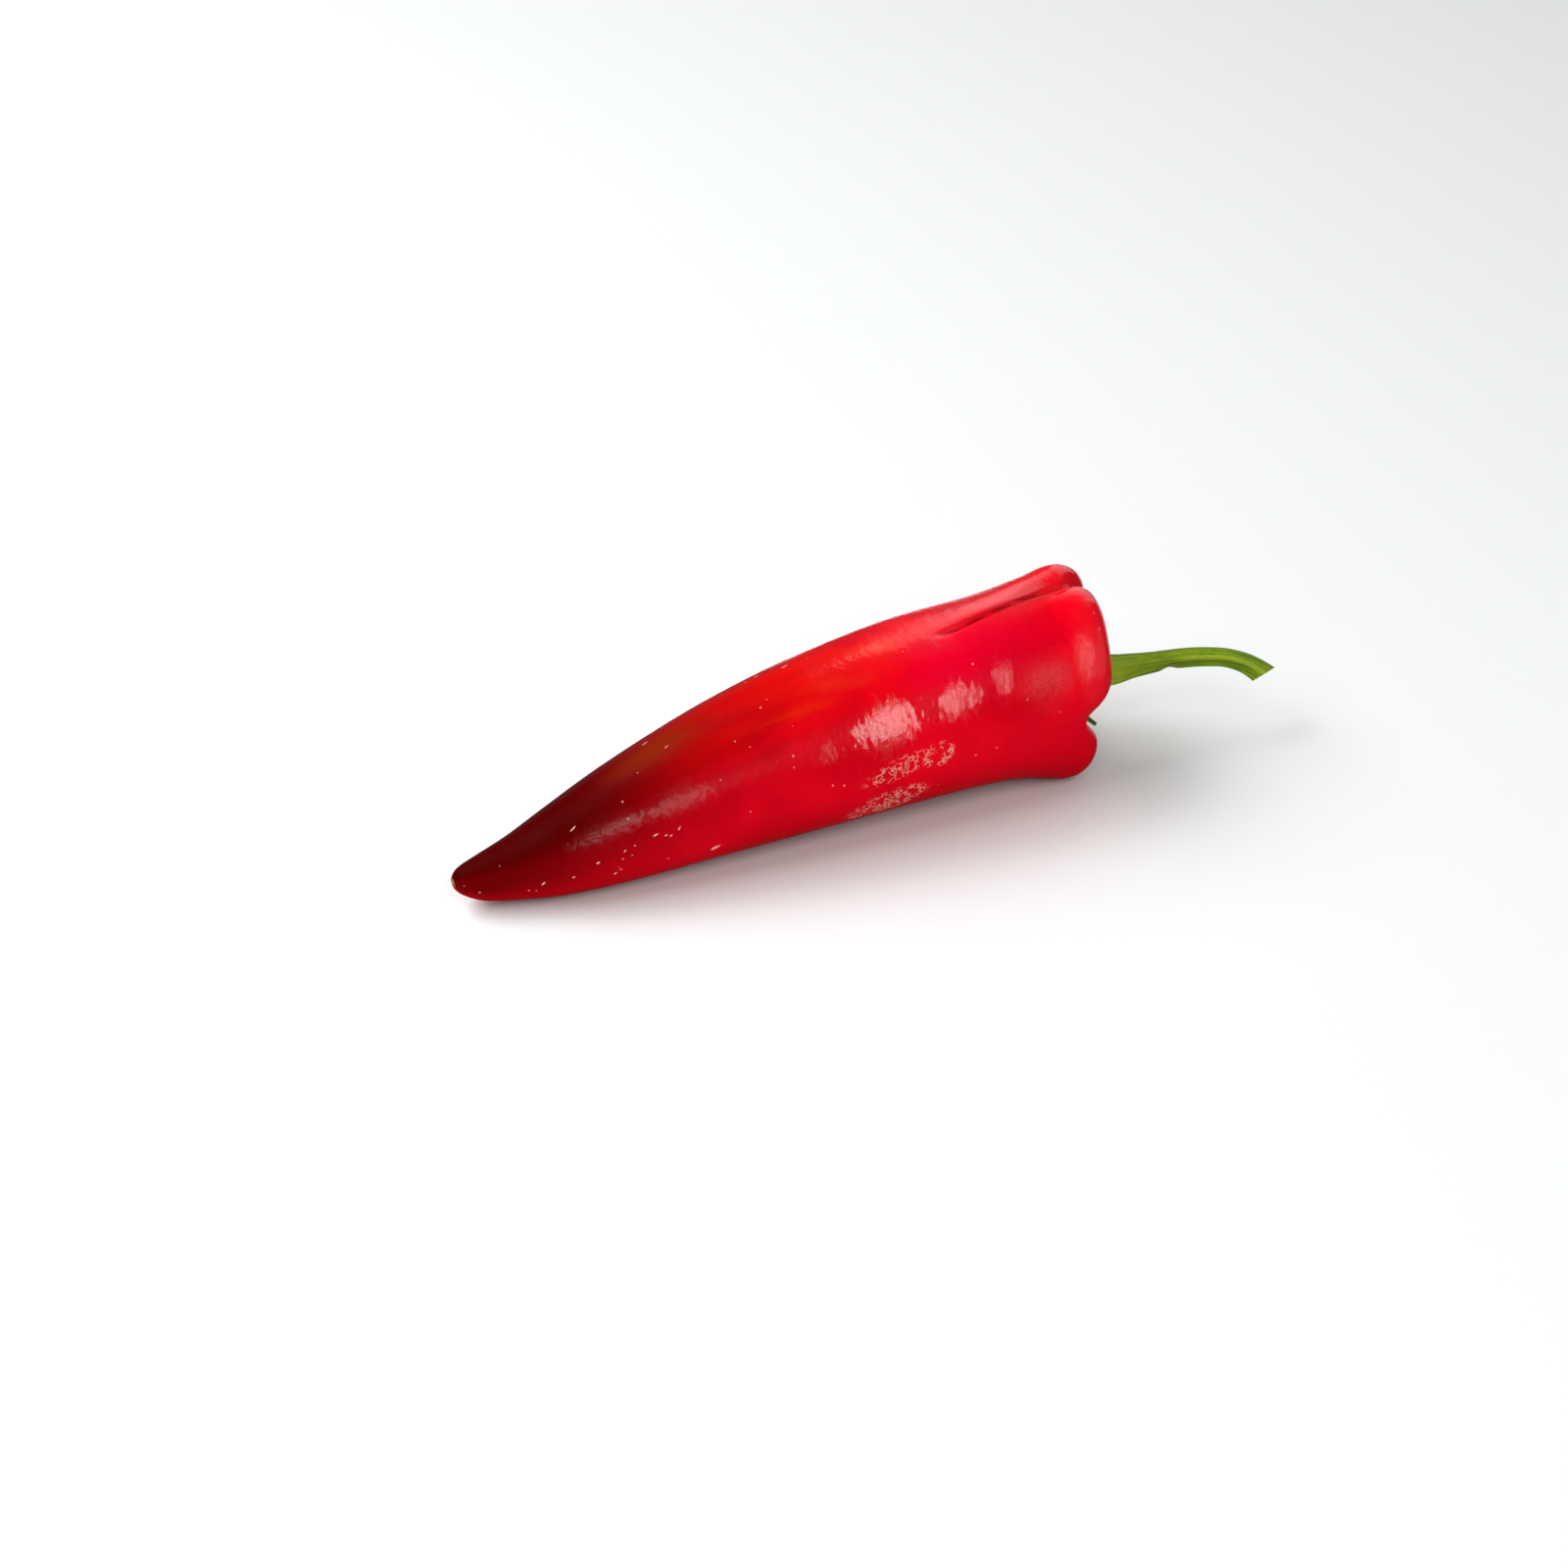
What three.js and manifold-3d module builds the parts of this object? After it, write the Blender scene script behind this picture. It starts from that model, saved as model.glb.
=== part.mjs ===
// A pointed sweet pepper, as picked, lying on its side: the fruit, and its stem with the calyx.
// Millimetres, +Z up. +X runs from the fruit's point to the cut end of the stem. The origin is on the
// surface that the pepper lies on, under the middle of its length and width.

import * as THREE from 'three';
import { mergeVertices } from 'three/addons/utils/BufferGeometryUtils.js';
import Module from 'manifold-3d';

const wasm = await Module();
wasm.setup();

const { clamp, degToRad, euclideanModulo, smoothstep } = THREE.MathUtils;

// The fruit from its point over the shoulder and down into the hollow round the stem. Each station has
// the distance along the fruit, the radius, and where the middle lies: sideways, and above the surface.
const STATIONS = [
  [0.0, 0.0, 0.4, 8.8],
  [0.4, 2.0, 0.4, 8.8],
  [2.6, 4.4, 0.2, 8.7],
  [8.0, 6.8, -0.4, 8.6],
  [18.0, 9.6, -1.4, 10.0],
  [30.0, 13.0, -2.4, 12.8],
  [50.0, 17.2, -2.0, 17.0],
  [78.0, 21.6, -0.8, 21.9],
  [108.0, 24.8, 0.2, 25.7],
  [138.0, 26.7, 0.7, 28.2],
  [164.0, 27.5, 1.2, 28.6],
  [181.0, 28.8, 1.5, 28.5],
  [190.5, 28.0, 1.5, 28.3],
  [194.5, 22.0, 1.5, 28.0],
  [191.0, 14.0, 1.5, 27.6],
  [185.0, 8.0, 1.5, 27.4],
  [182.5, 3.0, 1.5, 27.4],
  [182.5, 0.0, 1.5, 27.4],
];
const RINGS_PER_SPAN = 3;
const COLUMNS = 48;

// Valleys between the lobes. Angles are in degrees round the fruit, with 0 at the near side (-Y) and 90
// on top. A valley turns from its first angle to its second, and starts and is full at two distances
// along the skin from the point.
const VALLEYS = [
  { from: 77, to: 97, depth: 4.6, halfWidth: 10, start: 163, full: 203 },
  { from: 77, to: 97, depth: 1.0, halfWidth: 3.5, start: 146, full: 158 },
  { from: -10, to: -10, depth: 6.2, halfWidth: 17, start: 160, full: 203 },
  { from: 170, to: 170, depth: 5.6, halfWidth: 18, start: 140, full: 200 },
  { from: 267, to: 267, depth: 5.0, halfWidth: 15, start: 140, full: 196 },
];
const VALLEY_TURN_START = 146;
const VALLEY_TURN_END = 196;

// Swollen ends of the lobes at the shoulder.
const LOBES = [
  { angle: 302, distance: 198, height: 3.4, halfWidth: 25, halfLength: 12 },
  { angle: 234, distance: 192, height: 4.0, halfWidth: 26, halfLength: 14 },
  { angle: 112, distance: 199, height: 2.4, halfWidth: 25, halfLength: 11 },
  { angle: 122, distance: 206, height: 4.0, halfWidth: 30, halfLength: 9 },
  { angle: 70, distance: 197, height: 1.2, halfWidth: 22, halfLength: 10 },
];

// The shoulder leans: its upper side reaches further towards the stem than its lower side.
const LEAN = 4.0;
const LEAN_RADIUS = 30.0;
const LEAN_START = 135;
const LEAN_FULL = 190;
const SMOOTH_MIDDLE = 8.0; // inside this radius the relief fades out

// The calyx lies in the hollow, on the skin but for a hairline gap. Its teeth are measured along the
// skin from the middle of the hollow, and each reaches its own length.
const GAP = 0.4;
const CALYX_THICKNESS = 1.3;
const CALYX_SWELL = 1.6;
const CALYX_WEB = 12.5;
const TOOTH_WIDTH = 27; // half of it, in degrees
const TOOTH_CURL = 0.7;
const TEETH = [
  { angle: -34, length: 25.0 },
  { angle: 40, length: 19.5 },
  { angle: 110, length: 21.0 },
  { angle: 183, length: 20.0 },
  { angle: 256, length: 19.0 },
];
const UNDERSIDE_RINGS = 5;
const TOP_RINGS = [0.86, 0.7, 0.54, 0.42];

// The stalk: along, sideways, above the surface, and width.
const STALK = [
  [189.0, 1.2, 27.3, 13.6],
  [193.5, 0.9, 27.0, 11.8],
  [199.5, 0.2, 26.3, 10.2],
  [206.5, -1.0, 25.7, 8.7],
  [212.0, -1.6, 25.8, 7.2],
  [217.5, -2.2, 25.7, 6.2],
  [223.5, -3.0, 25.7, 5.7],
  [229.6, -4.0, 25.5, 5.6],
  [235.7, -5.0, 24.8, 5.5],
  [241.6, -6.5, 23.8, 5.4],
  [246.9, -8.0, 21.6, 5.8],
  [250.5, -9.0, 19.1, 6.4],
  [253.2, -9.9, 16.9, 6.9],
];
const STALK_RINGS_PER_SPAN = 2;
const STALK_RIDGES = 5;
const STALK_RIDGE_ANGLE = 27; // where the first ridge runs
const STALK_RIDGE_HEIGHT = 0.07; // of the radius
const CUT_LEAN = { up: 0.35, side: 0.65 }; // the cut end reaches further on its upper and far side
const NO_LEAN = { up: 0, side: 0 };
const NICK = { along: 223.6, angle: -72, depth: 1.3, halfLength: 2.0, halfWidth: 42 };

const SURFACE_CUTTER = { length: 300, width: 120, height: 10 };

const fruitMaterial = new THREE.MeshStandardMaterial({ color: 0xc8041f, roughness: 0.28, metalness: 0 });
const stemMaterial = new THREE.MeshStandardMaterial({ color: 0x6d8b1d, roughness: 0.5, metalness: 0 });

const outline = new THREE.SplineCurve(STATIONS.map(([along, radius]) => new THREE.Vector2(along, radius)));
const spine = new THREE.SplineCurve(STATIONS.map(([, , side, height]) => new THREE.Vector2(side, height)));
outline.arcLengthDivisions = 100 * (STATIONS.length - 1);
const skinLength = outline.getLength();

// The smallest turn from one angle to another, in degrees.
function turnBetween(a, b) {
  return euclideanModulo(a - b + 180, 360) - 180;
}

function bell(x) {
  return Math.exp(-x * x);
}

// How far the skin stands out from the plain outline, at a distance along the skin from the point.
function relief(distance, angle) {
  const turned = smoothstep(distance, VALLEY_TURN_START, VALLEY_TURN_END);
  let height = 0;
  for (const { from, to, depth, halfWidth, start, full } of VALLEYS) {
    const across = turnBetween(angle, from + (to - from) * turned) / halfWidth;
    height -= depth * bell(across) * smoothstep(distance, start, full);
  }
  for (const lobe of LOBES) {
    const across = turnBetween(angle, lobe.angle) / lobe.halfWidth;
    height += lobe.height * bell(across) * bell((distance - lobe.distance) / lobe.halfLength);
  }
  return height;
}

// A point of the skin, or one lifted off it.
function skinPoint(distance, angle, lift = 0) {
  const t = outline.getUtoTmapping(0, distance);
  const { x: along, y: radius } = outline.getPoint(t);
  const tangent = outline.getTangent(t);
  const middle = spine.getPoint(t);
  const out = relief(distance, angle) * clamp(radius / SMOOTH_MIDDLE, 0, 1) + lift;
  const across = Math.max(radius + out * tangent.x, 0);
  const turn = degToRad(angle);
  const lean = LEAN * Math.sin(turn) * (across / LEAN_RADIUS) * smoothstep(distance, LEAN_START, LEAN_FULL);
  return new THREE.Vector3(
    along - out * tangent.y + lean,
    middle.x - across * Math.cos(turn),
    middle.y + across * Math.sin(turn),
  );
}

function ringOf(pointAt) {
  return Array.from({ length: COLUMNS }, (_, column) => pointAt((column * 360) / COLUMNS));
}

// A closed skin over rings of equal count, with one point closing each end.
function loft(first, rings, last) {
  const points = [first, ...rings.flat(), last];
  const end = points.length - 1;
  const at = (ring, column) => 1 + ring * COLUMNS + (column % COLUMNS);
  const faces = [];
  for (let column = 0; column < COLUMNS; column += 1) {
    faces.push(0, at(0, column), at(0, column + 1));
    faces.push(end, at(rings.length - 1, column + 1), at(rings.length - 1, column));
  }
  for (let ring = 0; ring < rings.length - 1; ring += 1) {
    for (let column = 0; column < COLUMNS; column += 1) {
      const [a, b] = [at(ring, column), at(ring, column + 1)];
      const [c, d] = [at(ring + 1, column), at(ring + 1, column + 1)];
      faces.push(a, c, b, b, c, d);
    }
  }
  const geometry = new THREE.BufferGeometry().setFromPoints(points);
  geometry.setIndex(faces);
  return geometry;
}

function toSolid(geometry) {
  const plain = geometry.clone();
  plain.deleteAttribute('normal');
  plain.deleteAttribute('uv');
  const merged = mergeVertices(plain);
  return new wasm.Manifold(
    new wasm.Mesh({
      numProp: 3,
      vertProperties: new Float32Array(merged.attributes.position.array),
      triVerts: new Uint32Array(merged.index.array),
    }),
  );
}

function toGeometry(solid) {
  const { vertProperties, triVerts } = solid.getMesh();
  const geometry = new THREE.BufferGeometry();
  geometry.setAttribute('position', new THREE.BufferAttribute(vertProperties, 3));
  geometry.setIndex(new THREE.BufferAttribute(triVerts, 1));
  geometry.computeVertexNormals();
  return geometry;
}

// The fruit is cut off at the surface, which leaves a small flat under the belly and one under each of
// the two lower lobes.
function makeFruit() {
  const ringCount = (STATIONS.length - 1) * RINGS_PER_SPAN;
  const lengths = outline.getLengths(ringCount * 100);
  const rings = [];
  for (let ring = 1; ring < ringCount; ring += 1) {
    rings.push(ringOf((angle) => skinPoint(lengths[ring * 100], angle)));
  }
  const whole = toSolid(loft(skinPoint(0, 0), rings, skinPoint(skinLength, 0)));
  const { length, width, height } = SURFACE_CUTTER;
  const below = new THREE.BoxGeometry(length, width, height).translate(length / 3, 0, -height / 2);
  return toGeometry(whole.subtract(toSolid(below)));
}

// How far the calyx reaches along the skin from the middle of the hollow.
function calyxReach(angle) {
  let reach = CALYX_WEB;
  for (const tooth of TEETH) {
    const beside = Math.abs(turnBetween(angle, tooth.angle)) / TOOTH_WIDTH;
    reach += (tooth.length - CALYX_WEB) * Math.pow(Math.max(1 - beside, 0), 1.3);
  }
  return reach;
}

// A point of the calyx at a part of its reach: on its underside, or above that by its thickness.
function calyxPoint(part, angle, thickness) {
  const reach = calyxReach(angle);
  const curl = (TOOTH_CURL * Math.pow(part, 4) * (reach - CALYX_WEB)) / CALYX_WEB;
  return skinPoint(skinLength - part * reach, angle, GAP + curl + thickness);
}

const stalkPath = new THREE.CatmullRomCurve3(STALK.map((station) => new THREE.Vector3(...station)));
const stalkWidth = new THREE.SplineCurve(STALK.map(([along, , , width]) => new THREE.Vector2(along, width)));

// A ring of the stalk, with its soft ridges and the nick. The ring at the cut leans with the cut.
function stalkRing(t, lean) {
  const middle = stalkPath.getPoint(t);
  const ahead = stalkPath.getTangent(t);
  const side = new THREE.Vector3(0, 0, 1).cross(ahead).normalize();
  const up = ahead.clone().cross(side);
  const radius = stalkWidth.getPoint(t).y / 2;
  return ringOf((angle) => {
    const turn = degToRad(angle);
    const ridge = 1 + STALK_RIDGE_HEIGHT * Math.cos(STALK_RIDGES * degToRad(angle - STALK_RIDGE_ANGLE));
    const nick = bell((middle.x - NICK.along) / NICK.halfLength);
    const nickedSide = bell(turnBetween(angle, NICK.angle) / NICK.halfWidth);
    const reach = radius * ridge - NICK.depth * nick * nickedSide;
    const toSide = -reach * Math.cos(turn);
    const toTop = reach * Math.sin(turn);
    return middle
      .clone()
      .addScaledVector(side, toSide)
      .addScaledVector(up, toTop)
      .addScaledVector(ahead, lean.side * toSide + lean.up * toTop);
  });
}

// One piece, as it grew: the calyx's underside, its toothed edge, its top, and the stalk to the cut end.
function makeStem() {
  const rings = [];
  for (let ring = 1; ring <= UNDERSIDE_RINGS; ring += 1) {
    rings.push(ringOf((angle) => calyxPoint(ring / UNDERSIDE_RINGS, angle, 0)));
  }
  rings.push(ringOf((angle) => calyxPoint(0.985, angle, CALYX_THICKNESS)));
  for (const part of TOP_RINGS) {
    const swell = CALYX_SWELL * smoothstep(1 - part, 0, 0.6);
    rings.push(ringOf((angle) => calyxPoint(part, angle, CALYX_THICKNESS + swell)));
  }
  const spans = (STALK.length - 1) * STALK_RINGS_PER_SPAN;
  for (let ring = 0; ring <= spans; ring += 1) {
    rings.push(stalkRing(ring / spans, ring === spans ? CUT_LEAN : NO_LEAN));
  }
  return toGeometry(toSolid(loft(skinPoint(skinLength, 0, GAP), rings, stalkPath.getPoint(1))));
}

function namedMesh(name, geometry, material) {
  const mesh = new THREE.Mesh(geometry, material);
  mesh.name = name;
  return mesh;
}

const pepper = new THREE.Group();
pepper.add(namedMesh('fruit', makeFruit(), fruitMaterial));
pepper.add(namedMesh('stem_and_calyx', makeStem(), stemMaterial));

const middle = new THREE.Box3().setFromObject(pepper).getCenter(new THREE.Vector3());
pepper.position.set(-middle.x, -middle.y, 0);
pepper.updateMatrixWorld(true);

export default pepper;
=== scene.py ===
"""The looks of a pointed sweet pepper that lies on its side, with its green stem and calyx."""

import math
from bisect import bisect_right
from functools import lru_cache

import bmesh
import bpy
from mathutils import Matrix, Vector, noise


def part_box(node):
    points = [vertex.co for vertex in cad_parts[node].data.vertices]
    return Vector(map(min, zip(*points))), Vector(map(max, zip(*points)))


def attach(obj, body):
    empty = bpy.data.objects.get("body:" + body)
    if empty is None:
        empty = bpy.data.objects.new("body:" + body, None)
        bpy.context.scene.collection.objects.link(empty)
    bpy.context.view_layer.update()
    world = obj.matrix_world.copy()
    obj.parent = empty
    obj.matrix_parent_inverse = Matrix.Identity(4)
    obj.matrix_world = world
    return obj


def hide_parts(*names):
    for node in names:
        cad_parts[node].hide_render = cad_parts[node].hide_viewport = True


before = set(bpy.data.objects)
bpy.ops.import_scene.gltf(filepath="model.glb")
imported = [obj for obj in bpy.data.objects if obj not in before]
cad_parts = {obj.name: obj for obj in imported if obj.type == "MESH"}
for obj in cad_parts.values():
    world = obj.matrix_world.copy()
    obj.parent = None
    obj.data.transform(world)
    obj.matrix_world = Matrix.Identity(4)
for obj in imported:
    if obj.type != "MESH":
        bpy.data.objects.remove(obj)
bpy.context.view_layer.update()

MM = 0.001

# The fruit from its point over the shoulder and down into the hollow round the stem. Each station has
# the distance along the fruit, the radius, and where the middle lies: sideways, and above the surface.
STATIONS = [
    (0.0, 0.0, 0.4, 8.8),
    (0.4, 2.0, 0.4, 8.8),
    (2.6, 4.4, 0.2, 8.7),
    (8.0, 6.8, -0.4, 8.6),
    (18.0, 9.6, -1.4, 10.0),
    (30.0, 13.0, -2.4, 12.8),
    (50.0, 17.2, -2.0, 17.0),
    (78.0, 21.6, -0.8, 21.9),
    (108.0, 24.8, 0.2, 25.7),
    (138.0, 26.7, 0.7, 28.2),
    (164.0, 27.5, 1.2, 28.6),
    (181.0, 28.8, 1.5, 28.5),
    (190.5, 28.0, 1.5, 28.3),
    (194.5, 22.0, 1.5, 28.0),
    (191.0, 14.0, 1.5, 27.6),
    (185.0, 8.0, 1.5, 27.4),
    (182.5, 3.0, 1.5, 27.4),
    (182.5, 0.0, 1.5, 27.4),
]
STEPS_PER_SPAN = 60

# Valleys between the lobes: first and last angle, depth, half width, and the distances along the skin
# where the valley starts and is full. Angles are in degrees, 0 at the near side and 90 on top.
VALLEYS = [
    (77, 97, 4.6, 10, 163, 203),
    (77, 97, 1.2, 2.2, 148, 157),
    (-10, -10, 6.2, 17, 160, 203),
    (170, 170, 5.6, 18, 140, 200),
    (267, 267, 5.0, 15, 140, 196),
]
VALLEY_TURN = (146, 196)

# The second valley is the crease on top. Its painted shadow comes in parts: distance, degrees beside it
# and half width.
CREASE_PARTS = [(155, 0, 0.45), (163, 0.5, 0.5), (172, 1, 0.55), (181, 1.5, 0.6)]
CREASE_HALF_LENGTH = 5.5
CREASE_ANGLE = 88

# Swollen ends of the lobes: angle, distance along the skin, height, half width and half length.
LOBES = [
    (302, 198, 3.4, 25, 12),
    (234, 192, 4.0, 26, 14),
    (112, 199, 2.4, 25, 11),
    (122, 206, 4.0, 30, 9),
    (70, 197, 1.2, 22, 10),
]

# The shoulder leans, so that its top lies further along than its bottom. The relief fades where the
# radius is less than SMOOTH_MIDDLE, and the fruit is widest within SHOULDER_DISTANCES.
LEAN = 4.0
LEAN_RADIUS = 30.0
LEAN_RANGE = (135, 190)
SMOOTH_MIDDLE = 8.0
SHOULDER_DISTANCES = range(150, 205, 2)

# The columns crowd round the crease. The fine skin has shallow dents, depth and length, and keeps INSET
# inside the plain form.
FRUIT_ROWS = 330
FRUIT_COLUMNS = 288
COLUMN_CROWDING = 0.55
INSET = 0.12
LUMPS = [(0.4, 34.0), (0.1, 12.0)]
LUMP_RADIUS = 24
SMOOTH_POLE = 6

# The calyx lies on the hollow's skin, GAP above it. Teeth: angle and length.
GAP = 0.4
CALYX_THICKNESS = 1.3
CALYX_SWELL = 1.6
CALYX_WEB = 12.5
CALYX_INNER = 0.42
RIM_ROUND = 0.015
TOOTH_WIDTH = 27
TOOTH_POINT = 1.3
TOOTH_CURL = 0.7
TEETH = [(-34, 24.0), (40, 19.5), (110, 21.0), (183, 20.0), (256, 19.0)]

# The stalk: along, sideways, above the surface, and width.
STALK = [
    (189.0, 1.2, 27.3, 13.6),
    (193.5, 0.9, 27.0, 11.8),
    (199.5, 0.2, 26.3, 10.2),
    (206.5, -1.0, 25.7, 8.7),
    (212.0, -1.6, 25.8, 7.2),
    (217.5, -2.2, 25.7, 6.2),
    (223.5, -3.0, 25.7, 5.7),
    (229.6, -4.0, 25.5, 5.6),
    (235.7, -5.0, 24.8, 5.5),
    (241.6, -6.5, 23.8, 5.4),
    (246.9, -8.0, 21.6, 5.8),
    (250.5, -9.0, 19.1, 6.4),
    (253.18, -9.9, 16.9, 6.9),
]
STEM_ROWS = 300
STEM_COLUMNS = 150
RIDGES = 5
RIDGE_ANGLE = 27
RIDGE_HEIGHT = 0.07
GROOVE_ANGLE = 4
DARK_EDGE_ANGLE = 112
CUT_START = 0.92
CUT_LEAN_UP = 0.35
CUT_LEAN_SIDE = 0.65
NICK_ALONG = 223.6
NICK_PART = 0.5
NICK_ANGLE = -72
NICK_DEPTH = 1.3
NICK_HALF_LENGTH = 2.0
NICK_HALF_WIDTH = 42

# The camera and the lights stand round VIEW_CENTRE. Azimuth is counted from +X towards +Y.
VIEW_AZIMUTH = -115
VIEW_ELEVATION = 33
VIEW_DISTANCE = 1.08
VIEW_LENS = 85
VIEW_CENTRE = (110.0, 19.6, 0.0)


def smooth_step(low, high, x):
    part = min(max((x - low) / (high - low), 0.0), 1.0)
    return part * part * (3 - 2 * part)


def bell(x):
    return math.exp(-x * x)


def turn_between(a, b):
    """The smallest turn from one angle to another, in degrees."""
    return (a - b + 180) % 360 - 180


def curve_through(stations, steps):
    """A smooth curve through rows of numbers, as many steps in each span."""
    rows = [Vector(station) for station in stations]
    last = len(rows) - 1
    points = []
    for span in range(last):
        before, start = rows[max(span - 1, 0)], rows[span]
        end, after = rows[span + 1], rows[min(span + 2, last)]
        for step in range(steps):
            t = step / steps
            leaving, arriving = (end - before) / 2, (after - start) / 2
            cubic = 2 * start - 2 * end + leaving + arriving
            square = 3 * end - 3 * start - 2 * leaving - arriving
            points.append(cubic * t**3 + square * t**2 + leaving * t + start)
    return points + [rows[last]]


OUTLINE = curve_through(STATIONS, STEPS_PER_SPAN)
DISTANCES = [0.0]
for here, there in zip(OUTLINE, OUTLINE[1:]):
    DISTANCES.append(DISTANCES[-1] + math.hypot(there[0] - here[0], there[1] - here[1]))
SKIN_LENGTH = DISTANCES[-1]


@lru_cache(maxsize=4096)
def outline_at(distance):
    """The station at a distance along the skin, and the direction of the outline there."""
    index = min(max(bisect_right(DISTANCES, distance) - 1, 0), len(OUTLINE) - 2)
    here, there = OUTLINE[index], OUTLINE[index + 1]
    length = DISTANCES[index + 1] - DISTANCES[index]
    part = (distance - DISTANCES[index]) / length
    before, after = OUTLINE[max(index - 1, 0)], OUTLINE[min(index + 2, len(OUTLINE) - 1)]
    tangent_here = (there - before).to_2d().normalized()
    tangent_there = (after - here).to_2d().normalized()
    return here.lerp(there, part), tangent_here.lerp(tangent_there, part).normalized()


def crease_angle(distance):
    """The angle of the deep crease on top at a distance along the skin."""
    first, last = VALLEYS[1][:2]
    return first + (last - first) * smooth_step(*VALLEY_TURN, distance)


def crease_turn(distance):
    """How the crease slants there, in degrees from the fruit's length."""
    turned = math.radians(crease_angle(distance + 1) - crease_angle(distance - 1))
    radius = outline_at(distance)[0][1]
    return math.degrees(math.atan2(turned * radius, 2))


def relief(distance, angle):
    """How far the lobes and valleys stand out from the plain outline."""
    turned = smooth_step(*VALLEY_TURN, distance)
    height = 0.0
    for first, last, depth, half_width, start, full in VALLEYS:
        across = turn_between(angle, first + (last - first) * turned) / half_width
        height -= depth * bell(across) * smooth_step(start, full, distance)
    for lobe_angle, at, lobe_height, half_width, half_length in LOBES:
        across = turn_between(angle, lobe_angle) / half_width
        height += lobe_height * bell(across) * bell((distance - at) / half_length)
    return height


def skin_point(distance, angle, lift=0.0):
    """A point of the skin in millimetres from the fruit's point, or one lifted off it."""
    (along, radius, sideways, height), tangent = outline_at(distance)
    out = relief(distance, angle) * min(radius / SMOOTH_MIDDLE, 1.0) + lift
    across = max(radius + out * tangent.x, 0.0)
    turn = math.radians(angle)
    lean = LEAN * math.sin(turn) * across / LEAN_RADIUS * smooth_step(*LEAN_RANGE, distance)
    return Vector(
        (
            along - out * tangent.y + lean,
            sideways - across * math.cos(turn),
            height + across * math.sin(turn),
        )
    )


def fruit_shift():
    """What moves a point measured from the fruit's point to the frame of the whole pepper."""
    low, high = (Vector(corner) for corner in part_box("fruit"))
    sides = [
        skin_point(distance, angle).y
        for distance in SHOULDER_DISTANCES
        for angle in range(0, 360, 3)
    ]
    middle = (min(sides) + max(sides)) / 2 * MM
    return Vector((low.x, (low.y + high.y) / 2 - middle, 0.0))


SHIFT = fruit_shift()


def to_frame(point):
    return point * MM + SHIFT


def closed_skin(name, rows, columns, place):
    """A closed piece: a sphere whose points go where place says, by the part of the way from pole to pole
    and the angle round. It keeps each point's angle and distance for the materials."""
    bm = bmesh.new()
    bmesh.ops.create_uvsphere(bm, u_segments=columns, v_segments=rows, radius=1)
    grain = bm.verts.layers.float_vector.new("grain")
    for vert in bm.verts:
        part = math.acos(min(max(-vert.co.z, -1.0), 1.0)) / math.pi
        angle = math.degrees(math.atan2(vert.co.y, vert.co.x))
        vert.co, vert[grain] = place(part, angle)
    bmesh.ops.recalc_face_normals(bm, faces=bm.faces)
    for face in bm.faces:
        face.smooth = True
    mesh = bpy.data.meshes.new(name)
    bm.to_mesh(mesh)
    bm.free()
    piece = bpy.data.objects.new(name, mesh)
    bpy.context.scene.collection.objects.link(piece)
    return piece


def lumps(distance, angle):
    """The skin's shallow dents, always inwards."""
    turn = math.radians(angle)
    spot = Vector((distance, LUMP_RADIUS * math.cos(turn), LUMP_RADIUS * math.sin(turn)))
    return -sum(depth * (0.5 + 0.5 * noise.noise(spot / length)) for depth, length in LUMPS)


def fruit_place(part, angle):
    angle -= math.degrees(COLUMN_CROWDING * math.sin(math.radians(angle - CREASE_ANGLE)))
    distance = part * SKIN_LENGTH
    edge = min(distance, SKIN_LENGTH - distance)
    fine = (lumps(distance, angle) - INSET) * smooth_step(0, SMOOTH_POLE, edge)
    point = skin_point(distance, angle, fine)
    point.z = max(point.z, 0.0)
    turn = math.radians(angle)
    return to_frame(point), Vector((math.cos(turn), math.sin(turn), distance * MM))


def make_fruit():
    fruit = closed_skin("pepper_fruit", FRUIT_ROWS, FRUIT_COLUMNS, fruit_place)
    fruit.data.materials.append(skin_material())
    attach(fruit, "root")
    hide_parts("fruit")
    return fruit


def calyx_reach(angle):
    reach = CALYX_WEB
    for tooth_angle, length in TEETH:
        beside = abs(turn_between(angle, tooth_angle)) / TOOTH_WIDTH
        reach += (length - CALYX_WEB) * max(1 - beside, 0.0) ** TOOTH_POINT
    return reach


def calyx_point(part, angle, thickness):
    """A point of the calyx at a part of its reach, on its underside or above it."""
    reach = calyx_reach(angle)
    curl = TOOTH_CURL * part**4 * (reach - CALYX_WEB) / CALYX_WEB
    return skin_point(SKIN_LENGTH - part * reach, angle, GAP + curl + thickness)


STALK_CURVE = curve_through(STALK, STEPS_PER_SPAN)


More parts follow.
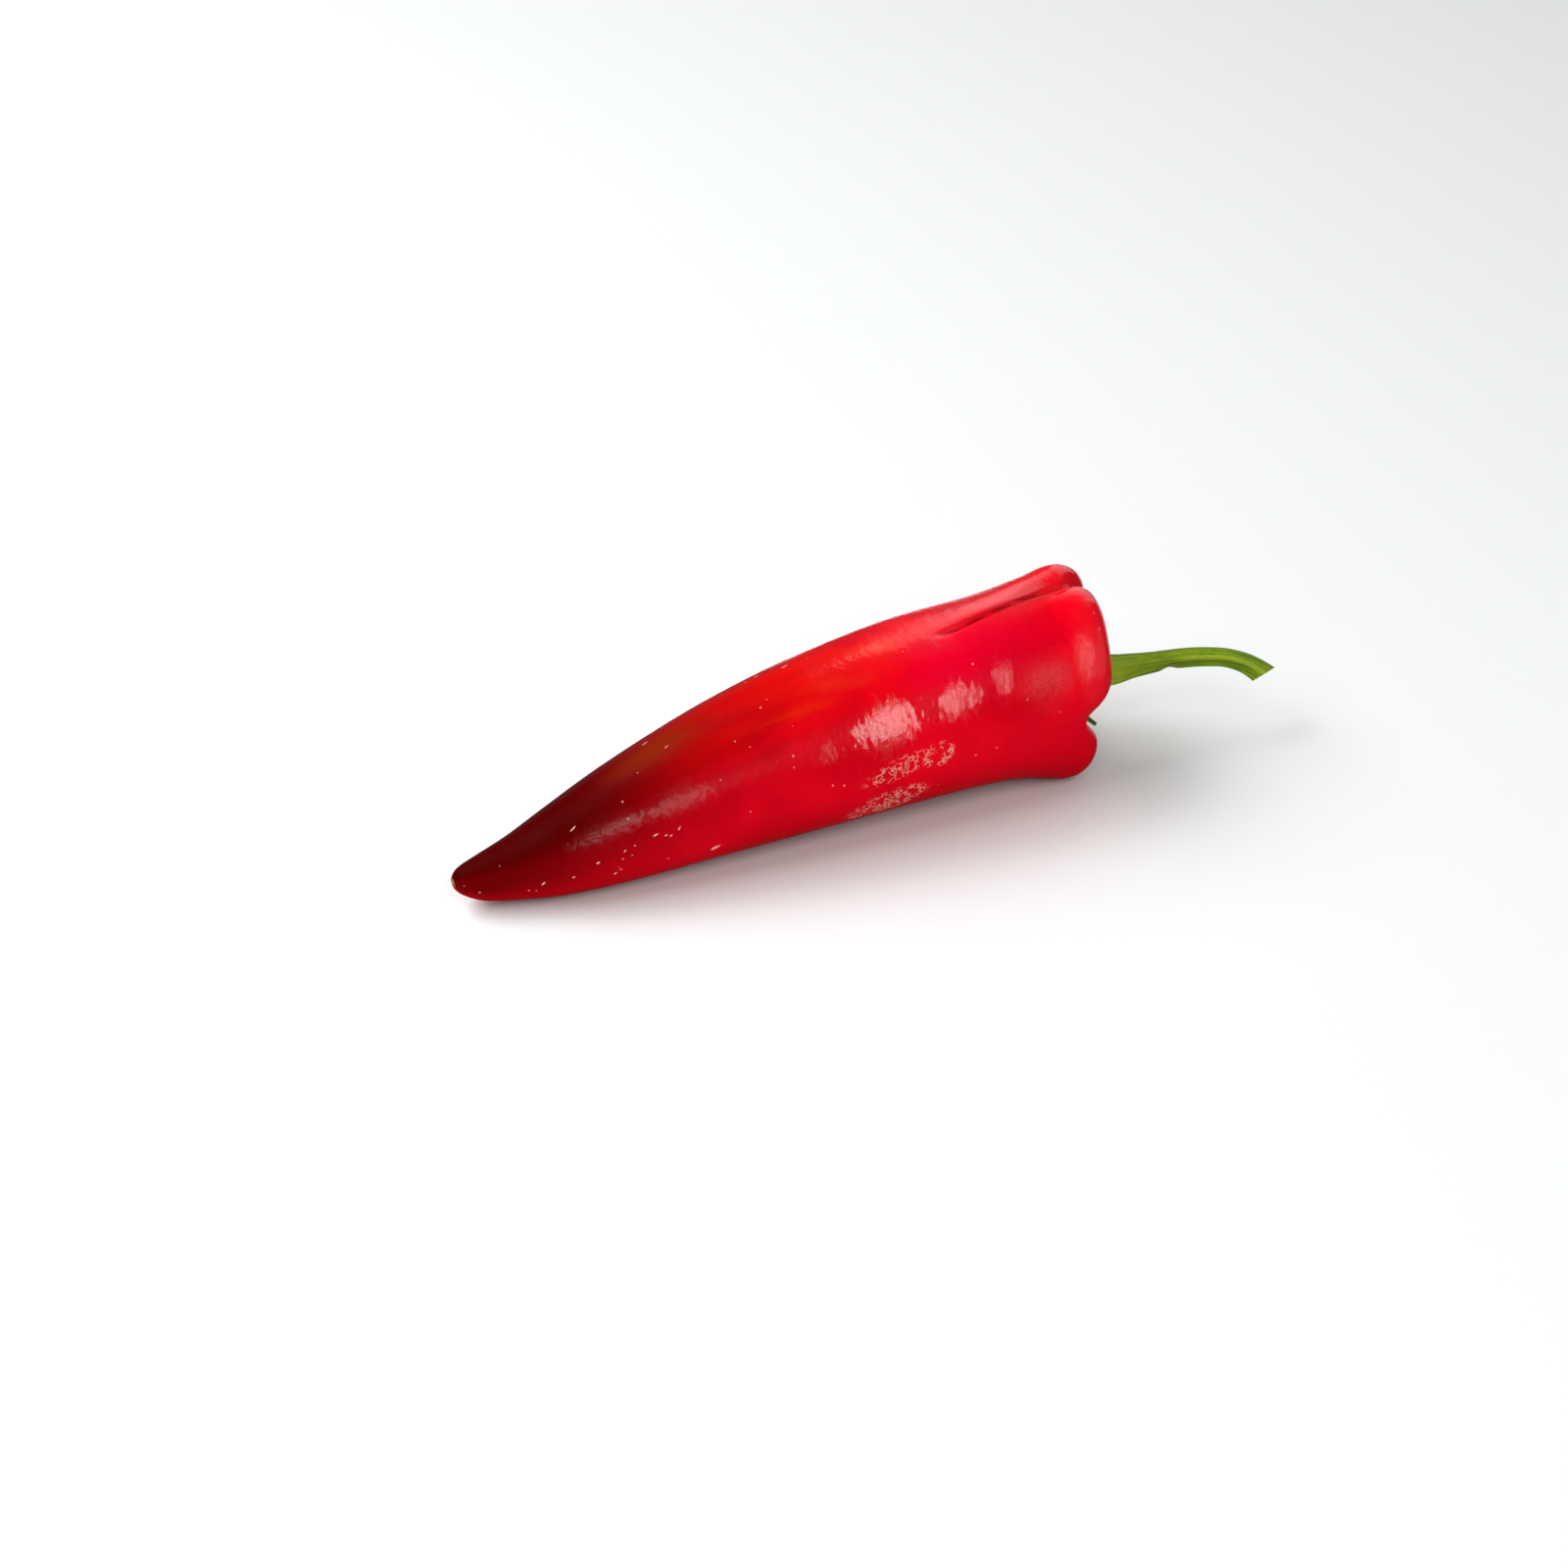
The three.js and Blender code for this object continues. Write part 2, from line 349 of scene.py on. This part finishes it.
def stalk_point(part, angle, inward=0.0, lean=0.0):
    """A point of the stalk at a part of its length. Inward draws it towards the middle."""
    index = min(int(part * (len(STALK_CURVE) - 1)), len(STALK_CURVE) - 2)
    within = part * (len(STALK_CURVE) - 1) - index
    along, sideways, height, width = STALK_CURVE[index].lerp(STALK_CURVE[index + 1], within)
    middle = Vector((along, sideways, height))
    ahead = (STALK_CURVE[index + 1] - STALK_CURVE[max(index - 1, 0)]).to_3d().normalized()
    side = Vector((0, 0, 1)).cross(ahead).normalized()
    up = ahead.cross(side)
    turn = math.radians(angle)
    ridge = 1 + RIDGE_HEIGHT * math.cos(RIDGES * math.radians(angle - RIDGE_ANGLE))
    nick = bell((along - NICK_ALONG) / NICK_HALF_LENGTH)
    nick *= bell(turn_between(angle, NICK_ANGLE) / NICK_HALF_WIDTH)
    reach = (width / 2 * ridge - NICK_DEPTH * nick) * (1 - inward)
    to_side = -reach * math.cos(turn)
    to_top = reach * math.sin(turn)
    leaning = lean * (CUT_LEAN_SIDE * to_side + CUT_LEAN_UP * to_top)
    return middle + side * to_side + up * to_top + ahead * leaning


# The stem's surface from pole to pole: underside of the calyx, its edge, its top, the stalk, the cut end.
UNDERSIDE_END = 0.16
EDGE_END = 0.19
TOP_END = 0.34
STALK_END = 0.94


def stem_place(part, angle):
    turn = math.radians(angle)
    if part < UNDERSIDE_END:
        point = calyx_point(part / UNDERSIDE_END, angle, 0.0)
        along = -1.0
    elif part < EDGE_END:
        over = (part - UNDERSIDE_END) / (EDGE_END - UNDERSIDE_END)
        point = calyx_point(1 - RIM_ROUND * over, angle, CALYX_THICKNESS * over)
        along = -1.0
    elif part < TOP_END:
        inward = (part - EDGE_END) / (TOP_END - EDGE_END)
        out = 1 - RIM_ROUND - inward * (1 - RIM_ROUND - CALYX_INNER)
        swell = CALYX_SWELL * smooth_step(0, 0.6, 1 - out)
        point = calyx_point(out, angle, CALYX_THICKNESS + swell)
        along = -out
    elif part < STALK_END:
        along = (part - TOP_END) / (STALK_END - TOP_END)
        point = stalk_point(along, angle, 0.0, smooth_step(CUT_START, 1.0, along))
    else:
        inward = (part - STALK_END) / (1 - STALK_END)
        point = stalk_point(1.0, angle, inward, 1.0)
        along = 1 + inward
    return to_frame(point), Vector((math.cos(turn), math.sin(turn), along))


def make_stem():
    stem = closed_skin("pepper_stem_and_calyx", STEM_ROWS, STEM_COLUMNS, stem_place)
    stem.data.materials.append(stem_material())
    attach(stem, "root")
    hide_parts("stem_and_calyx")
    return stem


class Finish:
    """A material and short ways to add nodes to it. A value is a number, a colour or another socket."""

    def __init__(self, name):
        self.material = bpy.data.materials.new(name)
        self.material.use_nodes = True
        self.tree = self.material.node_tree
        self.shader = self.tree.nodes["Principled BSDF"]
        self.place = self.tree.nodes.new("ShaderNodeTexCoord").outputs["Object"]

    def feed(self, socket, value):
        if isinstance(value, bpy.types.NodeSocket):
            self.tree.links.new(value, socket)
        else:
            socket.default_value = value

    def set(self, name, value):
        self.feed(self.shader.inputs[name], value)

    def math(self, operation, *values):
        node = self.tree.nodes.new("ShaderNodeMath")
        node.operation = operation
        for socket, value in zip(node.inputs, values):
            self.feed(socket, value)
        return node.outputs[0]

    def times(self, *values):
        total = values[0]
        for value in values[1:]:
            total = self.math("MULTIPLY", total, value)
        return total

    def most(self, *values):
        total = values[0]
        for value in values[1:]:
            total = self.math("MAXIMUM", total, value)
        return total

    def step(self, value, low, high, first=0.0, last=1.0):
        """First below low, last above high, and a smooth change between them."""
        node = self.tree.nodes.new("ShaderNodeMapRange")
        node.interpolation_type = "SMOOTHSTEP"
        for socket, number in zip(node.inputs, (value, low, high, first, last)):
            self.feed(socket, number)
        return node.outputs[0]

    def stretch(self, vector, factors):
        node = self.tree.nodes.new("ShaderNodeVectorMath")
        node.operation = "MULTIPLY"
        self.feed(node.inputs[0], vector)
        node.inputs[1].default_value = factors
        return node.outputs[0]

    def grain(self):
        """The piece's own coordinates: cosine and sine of the angle round it, and how far along."""
        node = self.tree.nodes.new("ShaderNodeAttribute")
        node.attribute_name = "grain"
        parts = self.tree.nodes.new("ShaderNodeSeparateXYZ")
        self.feed(parts.inputs[0], node.outputs["Vector"])
        return node.outputs["Vector"], parts.outputs

    def towards(self, grain, angle):
        """1 at an angle round the piece, less beside it."""
        node = self.tree.nodes.new("ShaderNodeVectorMath")
        node.operation = "DOT_PRODUCT"
        self.feed(node.inputs[0], grain)
        turn = math.radians(angle)
        node.inputs[1].default_value = (math.cos(turn), math.sin(turn), 0)
        return node.outputs["Value"]

    def noise(self, vector, size, detail=2.0, warp=0.0):
        """Clouds from 0 to 1 whose lumps are about as long as size."""
        node = self.tree.nodes.new("ShaderNodeTexNoise")
        self.feed(node.inputs["Vector"], vector)
        node.inputs["Scale"].default_value = 1 / size
        node.inputs["Detail"].default_value = detail
        node.inputs["Distortion"].default_value = warp
        return node.outputs[0]

    def warped(self, size, reach):
        """The object's coordinates, pushed about by clouds of a size, as far as reach."""
        node = self.tree.nodes.new("ShaderNodeTexNoise")
        self.feed(node.inputs["Vector"], self.place)
        node.inputs["Scale"].default_value = 1 / size
        push = self.tree.nodes.new("ShaderNodeVectorMath")
        push.operation = "MULTIPLY_ADD"
        self.feed(push.inputs[0], node.outputs["Color"])
        push.inputs[1].default_value = (reach, reach, reach)
        self.feed(push.inputs[2], self.place)
        return push.outputs[0]

    def cells(self, vector, size, feature="F1"):
        node = self.tree.nodes.new("ShaderNodeTexVoronoi")
        node.feature = feature
        self.feed(node.inputs["Vector"], vector)
        node.inputs["Scale"].default_value = 1 / size
        return node.outputs

    def spot(self, place, length, width, turn=0.0, soft=1.0):
        """1 in the middle of an oval on the skin, 0 outside it. Its half length and half width are in
        millimetres, and turn is in degrees from the fruit's length towards the top."""
        mapping = self.tree.nodes.new("ShaderNodeMapping")
        mapping.vector_type = "TEXTURE"
        distance, angle = place
        middle = skin_point(distance, angle)
        ahead = (skin_point(distance + 1, angle) - skin_point(distance - 1, angle)).normalized()
        upward = (skin_point(distance, angle + 2) - skin_point(distance, angle - 2)).normalized()
        away = ahead.cross(upward).normalized()
        side = away.cross(ahead)
        swing = math.radians(turn)
        first = ahead * math.cos(swing) + side * math.sin(swing)
        second = side * math.cos(swing) - ahead * math.sin(swing)
        self.feed(mapping.inputs["Vector"], self.place)
        mapping.inputs["Location"].default_value = to_frame(middle)
        mapping.inputs["Rotation"].default_value = Matrix((first, second, away)).transposed().to_euler()
        mapping.inputs["Scale"].default_value = (length * MM, width * MM, (length + width) * MM)
        ball = self.tree.nodes.new("ShaderNodeTexGradient")
        ball.gradient_type = "SPHERICAL"
        self.feed(ball.inputs["Vector"], mapping.outputs["Vector"])
        return self.step(ball.outputs["Fac"], 0.0, soft)

    def spots(self, rows, soft):
        """The most of several ovals: distance, angle, half length, half width and turn."""
        ovals = [self.spot((at, angle), long, wide, turn, soft) for at, angle, long, wide, turn in rows]
        return self.most(*ovals)

    def mix(self, factor, under, over):
        node = self.tree.nodes.new("ShaderNodeMix")
        node.data_type = "RGBA"
        for index, value in zip((0, 6, 7), (factor, under, over)):
            self.feed(node.inputs[index], value)
        return node.outputs[2]

    def bump(self, height, depth):
        """Raises the surface by as much as depth, in millimetres, where height is 1."""
        node = self.tree.nodes.new("ShaderNodeBump")
        self.feed(node.inputs["Height"], height)
        node.inputs["Strength"].default_value = 1.0
        node.inputs["Distance"].default_value = depth * MM
        self.set("Normal", node.outputs["Normal"])


# Small dry scars on the skin: distance, angle, half length, half width and turn.
DASHES = [
    (36.3, 55, 1.3, 0.25, 20),
    (57.7, 13, 1.0, 0.35, 10),
    (60.6, 9, 0.6, 0.3, 5),
    (62.0, 7, 0.6, 0.3, 30),
    (64.5, 11, 0.8, 0.3, 40),
    (48.7, 8, 0.6, 0.3, 30),
    (51.6, 10, 0.4, 0.3, 0),
    (48.0, 0, 0.35, 0.3, 0),
    (41.0, 5, 0.7, 0.35, 10),
    (46.0, -17, 0.7, 0.35, 20),
    (47.5, -13, 0.4, 0.3, 0),
    (34.1, -5, 0.6, 0.35, 15),
    (25.8, -4, 1.0, 0.3, 35),
    (24.0, -17, 0.4, 0.3, 0),
    (22.0, -14, 0.5, 0.3, 0),
    (68.1, 85, 1.0, 0.2, 15),
    (109.3, 107, 1.4, 0.3, 5),
    (101.7, 115, 1.0, 0.3, 5),
    (98.0, 113, 0.5, 0.25, 5),
    (64.5, 107, 1.3, 0.25, 5),
    (75.5, -23, 1.8, 0.7, 20),
]

# The near flank is dull with bloom but for these polished spots: distance, angle, half length, half
# width, turn and polish.
POLISHED = [
    (128.5, 30, 14.5, 12.0, 20, 1.0),
    (120, 31, 4.6, 5.0, 0, 0.8),
    (109.5, 25, 5.5, 5.0, 0, 0.3),
    (150, 32, 10.0, 9.0, 0, 0.65),
    (163.5, 40, 5.5, 10.0, 0, 0.5),
    (44, 37, 19, 8.0, -6, 0.24),
    (67, 34, 14, 9.0, 6, 0.22),
]
FLANK_ANGLE = 30

# Painted reflection of orange light, in streaks in the fold on top: distance, angle, half length, half
# width, turn and strength.
ORANGE_REFLECTION_STREAKS = [
    (133, 86, 14, 6, -12, 1.0),
    (118, 68, 16, 3.5, -16, 0.7),
    (100, 61, 22, 3.0, -4, 0.6),
]

# Colours of the flesh and of the light painted on it: painted reflections in orange, scarlet, olive and
# rose, and painted shadow in maroon and deep red.
CRIMSON = (0.80, 0.0, 0.010, 1)
COOL_RED = (0.83, 0.0, 0.026, 1)
SCARLET = (0.75, 0.003, 0.002, 1)
REFLECTED_ORANGE = (0.78, 0.026, 0.003, 1)
DEEP_RED = (0.42, 0.0, 0.004, 1)
MAROON = (0.14, 0.0, 0.001, 1)
DARK_MAROON = (0.05, 0.0, 0.0, 1)
OLIVE_RED = (0.19, 0.018, 0.001, 1)
ROSE = (0.86, 0.035, 0.05, 1)
SCAR = (0.88, 0.42, 0.33, 1)
TAN = (0.30, 0.17, 0.07, 1)


def skin_colour_and_painted_light(skin, grain, sine, distance, clouds):
    """The colour of the flesh, crimson with darker red at random, and light painted over it: a painted
    reflection in scarlet, olive and orange on top, painted shade on top near the point, painted shadow
    that darkens the point, painted shade on the underside, and a painted sheen beside the crease.
    """
    streaks = skin.noise(skin.stretch(grain, (0.024, 0.024, 0.2)), 0.007, 3, 0.6)
    top = skin.step(sine, 0.55, 0.98)
    cool = skin.times(skin.spot((158, 58), 34, 18, 0, 0.8), 0.8)
    color = skin.mix(cool, CRIMSON, COOL_RED)
    # Painted reflection: scarlet over the top of the point's half.
    scarlet = skin.times(top, skin.step(distance, 0.150, 0.115), skin.step(clouds, 0.25, 0.6))
    color = skin.mix(scarlet, color, SCARLET)
    deep = skin.times(skin.step(clouds, 0.62, 0.3), 0.5)
    color = skin.mix(deep, color, DEEP_RED)

    # Painted reflection: orange streaks in the fold on top.
    fold = skin.most(*[
        skin.times(skin.spot((at, angle), long, wide, turn), strength)
        for at, angle, long, wide, turn, strength in ORANGE_REFLECTION_STREAKS
    ])
    color = skin.mix(skin.times(fold, skin.step(streaks, 0.25, 0.7)), color, REFLECTED_ORANGE)
    # Painted shade: darker red streaks on top towards the point.
    top_shade_streaks = skin.times(
        skin.step(sine, 0.3, 0.8),
        skin.step(distance, 0.135, 0.09),
        skin.step(streaks, 0.55, 0.33),
    )
    color = skin.mix(skin.times(top_shade_streaks, 0.45), color, DEEP_RED)
    # Painted reflection: an olive tint in streaks on top near the point.
    olive = skin.times(skin.spot((66, 92), 24, 9, 0), skin.step(streaks, 0.2, 0.65))
    # Painted shadow: maroon towards the point, reaching further along on the upper side.
    shade = skin.math("MULTIPLY_ADD", sine, -0.032, distance)
    color = skin.mix(skin.step(shade, 0.112, 0.0), color, MAROON)
    # Painted shadow: darkest maroon on top near the point.
    top_shadow = skin.times(skin.step(sine, 0.4, 0.9), skin.step(distance, 0.08, 0.03), 0.8)
    color = skin.mix(top_shadow, color, DARK_MAROON)
    color = skin.mix(skin.times(olive, 0.8), color, OLIVE_RED)
    # Painted sheen: rose on the far slope of the crease.
    sheen_on_far_slope = skin.spot((171, 99), 19, 3.6, crease_turn(171), 0.5)
    color = skin.mix(skin.times(sheen_on_far_slope, 0.7), color, ROSE)
    # Painted shade: darker red on the underside.
    underside = skin.step(sine, 0.1, -0.9)
    return skin.mix(skin.times(underside, 0.75), color, DEEP_RED)


def pale_dots(skin):
    """Small dots all over the skin, most of them too small to see."""
    near, colours = skin.cells(skin.place, 0.0034)[0:2]
    sizes = skin.tree.nodes.new("ShaderNodeSeparateColor")
    skin.feed(sizes.inputs[0], colours)
    chosen = skin.step(sizes.outputs[0], 0.4, 1.0, 0, 0.1)
    return skin.step(skin.math("SUBTRACT", near, chosen), 0.02, -0.02)


def dry_scars(skin):
    """The dashes, and the two patches of net-like scars with the loop beside one of them."""
    dashes = skin.spots(DASHES, 0.4)
    net = skin.cells(skin.warped(0.003, 0.0016), 0.0014, "DISTANCE_TO_EDGE")[0]
    lines = skin.step(net, 0.16, 0.03)
    patch = skin.most(
        skin.times(skin.spot((130, 0), 13, 4.0, 12, 0.45), 0.8),
        skin.spot((128, -30), 14, 6.5, 14, 0.3),
    )
    gone = skin.spot((141, 3), 3.4, 2.4, 10, 0.4)
    loop = skin.math("SUBTRACT", skin.spot((142, 2), 5.6, 4.4, 10, 0.3), gone)
    broken = skin.step(skin.noise(skin.place, 0.0022, 3), 0.42, 0.52)
    net_scar = skin.times(skin.most(patch, loop), lines, broken)
    return skin.most(dashes, skin.times(net_scar, 0.75))


def crease_shadow(skin):
    """The painted shadow in the crease on top, in dark parts."""
    rows = [
        (at, crease_angle(at) + beside, CREASE_HALF_LENGTH, wide, crease_turn(at))
        for at, beside, wide in CREASE_PARTS
    ]
    return skin.spots(rows, 0.5)


def polished_spots(skin, grain):
    """The polished spots, with edges torn into strokes that run round the fruit."""
    strokes = skin.noise(skin.stretch(grain, (0.009, 0.009, 1.0)), 0.0014, 4)
    torn = skin.math("MULTIPLY_ADD", strokes, 3.0, -1.5)
    spots = []
    for at, angle, long, wide, turn, strength in POLISHED:
        whole = skin.spot((at, angle), long, wide, turn)
        ragged = skin.step(skin.math("MULTIPLY_ADD", whole, 1.5, torn), 0.35, 0.8)
        spots.append(skin.times(ragged, skin.step(whole, 0.0, 0.12), strength))
    return skin.most(*spots)


def bloom_cover(skin, grain, cosine, sine, distance):
    """Where bloom lies: the near flank, the underside, beside the crease, and on top near the point."""
    return skin.most(
        skin.step(skin.towards(grain, FLANK_ANGLE), 0.72, 0.9),
        skin.step(sine, 0.3, -0.1),
        skin.times(skin.spot((172, 70), 30, 13, 0, 0.5), 0.9),
        skin.times(
            skin.step(distance, 0.119, 0.108),
            skin.step(sine, 0.0, 0.3),
            skin.step(cosine, -0.5, -0.15),
            0.9,
        ),
    )


def skin_material():
    skin = Finish("pepper_skin")
    grain, (cosine, sine, distance) = skin.grain()
    clouds = skin.noise(skin.place, 0.03, 3, 0.5)
    scars = dry_scars(skin)
    color = skin_colour_and_painted_light(skin, grain, sine, distance, clouds)
    color = skin.mix(skin.times(pale_dots(skin), 0.5), color, SCAR)
    # Painted shadow in the crease on top.
    color = skin.mix(skin.times(crease_shadow(skin), 0.65), color, MAROON)
    color = skin.mix(scars, color, SCAR)
    color = skin.mix(skin.step(distance, 0.0018, 0.0009), color, TAN)
    skin.set("Base Color", color)

    ragged = skin.noise(skin.place, 0.0030, 3, 0.3)
    wrinkles = skin.noise(skin.stretch(grain, (0.009, 0.009, 1.0)), 0.0022, 2, 0.4)
    pores = skin.noise(skin.place, 0.0006, 1)
    height = skin.math("MULTIPLY", ragged, 0.55)
    height = skin.math("MULTIPLY_ADD", wrinkles, 0.25, height)
    height = skin.math("MULTIPLY_ADD", pores, 0.06, height)
    height = skin.math("MULTIPLY_ADD", scars, 0.5, height)
    skin.bump(height, 0.34)

    bloom = bloom_cover(skin, grain, cosine, sine, distance)
    sheen = skin.times(skin.spot((177, 26), 13, 12, 20, 0.7), skin.step(pores, 0.3, 0.7, 0.15, 0.35))
    end = skin.times(skin.spot((195, 33), 11, 20, 0, 0.4), 0.5)
    bare = skin.most(polished_spots(skin, grain), sheen, end)
    dull = skin.times(bloom, skin.math("SUBTRACT", 1.0, bare))
    skin.set("Specular IOR Level", skin.step(dull, 0.0, 1.0, 0.5, 0.02))
    rough = skin.math("MULTIPLY_ADD", dull, 0.08, skin.step(clouds, 0.3, 0.7, 0.13, 0.19))
    rough = skin.math("MULTIPLY_ADD", sheen, 0.5, rough)
    rough = skin.math("MULTIPLY_ADD", skin.spot((128.5, 30), 14, 11, 20, 0.5), 0.07, rough)
    rough = skin.math("MULTIPLY_ADD", skin.spot((160, 108), 42, 24, 0, 0.5), 0.12, rough)
    skin.set("Roughness", skin.math("MULTIPLY_ADD", scars, 0.3, rough))
    skin.set("Subsurface Weight", 0.08)
    skin.set("Subsurface Radius", (1.0, 0.12, 0.06))
    skin.set("Subsurface Scale", 0.003)
    return skin.material


LEAF_GREEN = (0.29, 0.42, 0.004, 1)
DARK_GREEN = (0.085, 0.165, 0.003, 1)
PALE_GREEN = (0.46, 0.58, 0.035, 1)
TOOTH_SHADOW_GREEN = (0.03, 0.06, 0.003, 1)
PITH = (0.52, 0.58, 0.24, 1)


def stem_material():
    stem = Finish("pepper_green")
    grain, parts = stem.grain()
    along = parts["Z"]
    fibres = stem.noise(stem.stretch(grain, (1.0, 1.0, 0.35)), 0.09, 3, 0.3)
    fine = stem.noise(stem.stretch(grain, (1.0, 1.0, 0.5)), 0.035, 2, 0.2)
    clouds = stem.noise(stem.place, 0.006, 3)
    color = stem.mix(stem.step(fibres, 0.3, 0.65), DARK_GREEN, LEAF_GREEN)
    color = stem.mix(stem.times(stem.step(fine, 0.5, 0.75), 0.45), color, PALE_GREEN)
    color = stem.mix(stem.step(clouds, 0.6, 0.3, 0, 0.35), color, DARK_GREEN)
    specks = stem.noise(stem.stretch(grain, (1.0, 1.0, 2.5)), 0.055, 4)
    color = stem.mix(stem.step(specks, 0.52, 0.34, 0, 0.65), color, DARK_GREEN)
    # Painted shade: the calyx darker, and darkest on the tips of its teeth.
    color = stem.mix(stem.step(along, 0.0, -0.5, 0, 0.55), color, DARK_GREEN)
    color = stem.mix(stem.step(along, -0.78, -0.98, 0, 0.85), color, TOOTH_SHADOW_GREEN)
    base = stem.times(stem.step(along, 0.42, 0.18), stem.step(along, -0.05, 0.05), 0.45)
    color = stem.mix(base, color, PALE_GREEN)
    # Painted highlight: pale green along the lit ridge.
    on_crest = stem.step(stem.towards(grain, RIDGE_ANGLE), 0.96, 0.995)
    crest_highlight = stem.times(on_crest, stem.step(along, 0.5, 0.6), 0.5)
    color = stem.mix(crest_highlight, color, PALE_GREEN)
    # Painted shade: a dark line in the groove below the ridge, mixed in below with the dark edge.
    grooved = stem.times(stem.step(along, 0.47, 0.52), stem.step(along, 0.92, 0.82))
    groove_shade = stem.times(stem.step(stem.towards(grain, GROOVE_ANGLE), 0.985, 0.998), grooved, 0.75)
    on_edge = stem.step(stem.towards(grain, DARK_EDGE_ANGLE), 0.86, 0.97)
    edge = stem.times(on_edge, stem.step(along, 0.0, 0.1), 0.75)
    color = stem.mix(stem.most(groove_shade, edge), color, DARK_GREEN)
    from_nick = stem.math("ABSOLUTE", stem.math("SUBTRACT", along, NICK_PART))
    at_nick = stem.step(from_nick, 0.045, 0.015)
    nick = stem.times(at_nick, stem.step(stem.towards(grain, NICK_ANGLE), 0.45, 0.75), 0.8)
    color = stem.mix(nick, color, TAN)
    color = stem.mix(stem.step(along, 1.01, 1.08), color, PITH)
    stem.set("Base Color", color)
    height = stem.math("MULTIPLY_ADD", fine, 0.5, stem.math("MULTIPLY", fibres, 0.8))
    stem.bump(height, 0.5)
    stem.set("Roughness", stem.step(clouds, 0.3, 0.7, 0.36, 0.5))
    stem.set("Specular IOR Level", 0.12)
    stem.set("Subsurface Weight", 0.05)
    stem.set("Subsurface Radius", (0.5, 1.0, 0.2))
    stem.set("Subsurface Scale", 0.002)
    return stem.material


# Soft boxes: name, azimuth, elevation, distance, size, power and what they light.
SOFT_BOXES = [
    ("key_light", 126, 46, 1.6, (1.1, 1.1), 15.5, "colour"),
    ("left_light", 168, 50, 1.5, (1.2, 1.0), 14, "colour"),
    ("front_light", -95, 42, 1.5, (1.2, 0.8), 8.8, "colour"),
    ("sheen_light", 43, 32, 1.4, (1.05, 1.3), 5.5, "gloss"),
    ("side_light", -38, 20, 1.4, (1.1, 0.8), 2.4, "gloss"),
    ("floor_glow", 43, -14, 1.4, (1.05, 0.45), 1.6, "gloss"),
]

# A card just above the floor, behind the fruit. It faces up.
FLOOR_CARD = ("floor_card", 44, 0.5, 0.135, (0.12, 0.08), 0.035, "gloss")

# The panes that the near flank mirrors: azimuth, elevation, width and height in metres.
WINDOW_PANES = [
    (-76, 27, 0.11, 0.95),
    (-67, 30, 0.07, 0.6),
    (-58, 44, 0.05, 0.6),
    (-96, 27, 0.16, 0.35),
    (-109, 34, 0.30, 0.30),
]
PANE_DISTANCE = 1.4
PANE_BRIGHTNESS = 14

# How strong the white surroundings are, and how strong where the gloss mirrors them.
SURROUNDINGS = 0.31
MIRRORED_SURROUNDINGS = 0.05
FLOOR_WHITE = (0.79, 0.805, 0.807, 1)
FLOOR_HALF_SIZE = 4


def around(azimuth, elevation, distance):
    """A place seen from the view's centre, with the azimuth counted from +X towards +Y."""
    turn, rise = math.radians(azimuth), math.radians(elevation)
    way = Vector((math.cos(turn) * math.cos(rise), math.sin(turn) * math.cos(rise), math.sin(rise)))
    return to_frame(Vector(VIEW_CENTRE)) + way * distance


def aim(item, place):
    item.location = place
    item.rotation_euler = (to_frame(Vector(VIEW_CENTRE)) - place).to_track_quat("-Z", "Y").to_euler()
    bpy.context.scene.collection.objects.link(item)


def make_camera():
    camera = bpy.data.objects.new("camera", bpy.data.cameras.new("camera"))
    camera.data.lens = VIEW_LENS
    aim(camera, around(VIEW_AZIMUTH, VIEW_ELEVATION, VIEW_DISTANCE))
    bpy.context.scene.camera = camera


def make_light(name, azimuth, elevation, distance, size, power, lights):
    """A soft box that lights only the gloss or only the colour."""
    lamp = bpy.data.lights.new(name, "AREA")
    lamp.shape = "RECTANGLE"
    lamp.size, lamp.size_y = size
    lamp.energy = power
    light = bpy.data.objects.new(name, lamp)
    light.visible_glossy = lights == "gloss"
    light.visible_diffuse = lights == "colour"
    light.visible_camera = False
    aim(light, around(azimuth, elevation, distance))
    return light


def make_floor():
    bm = bmesh.new()
    bmesh.ops.create_grid(bm, x_segments=2, y_segments=2, size=FLOOR_HALF_SIZE)
    mesh = bpy.data.meshes.new("floor")
    bm.to_mesh(mesh)
    bm.free()
    floor = bpy.data.objects.new("floor", mesh)
    floor.visible_glossy = False
    bpy.context.scene.collection.objects.link(floor)
    finish = Finish("floor_white")
    finish.set("Base Color", FLOOR_WHITE)
    finish.set("Roughness", 0.8)
    finish.set("Specular IOR Level", 0.2)
    mesh.materials.append(finish.material)


def make_studio():
    world = bpy.data.worlds.new("studio")
    world.use_nodes = True
    background = world.node_tree.nodes["Background"]
    background.inputs["Color"].default_value = (1, 1, 1, 1)
    path = world.node_tree.nodes.new("ShaderNodeLightPath")
    dimmer = world.node_tree.nodes.new("ShaderNodeMapRange")
    dimmer.inputs["To Min"].default_value = SURROUNDINGS
    dimmer.inputs["To Max"].default_value = MIRRORED_SURROUNDINGS
    world.node_tree.links.new(path.outputs["Is Glossy Ray"], dimmer.inputs["Value"])
    world.node_tree.links.new(dimmer.outputs["Result"], background.inputs["Strength"])
    bpy.context.scene.world = world
    bpy.context.scene.view_settings.view_transform = "Standard"
    for soft_box in SOFT_BOXES:
        make_light(*soft_box)
    card = make_light(*FLOOR_CARD)
    card.rotation_euler = (math.pi, 0, 0)
    for azimuth, elevation, width, height in WINDOW_PANES:
        power = PANE_BRIGHTNESS * math.pi * width * height
        make_light("window_pane", azimuth, elevation, PANE_DISTANCE, (width, height), power, "gloss")
    make_floor()


make_camera()
make_fruit()
make_stem()
make_studio()
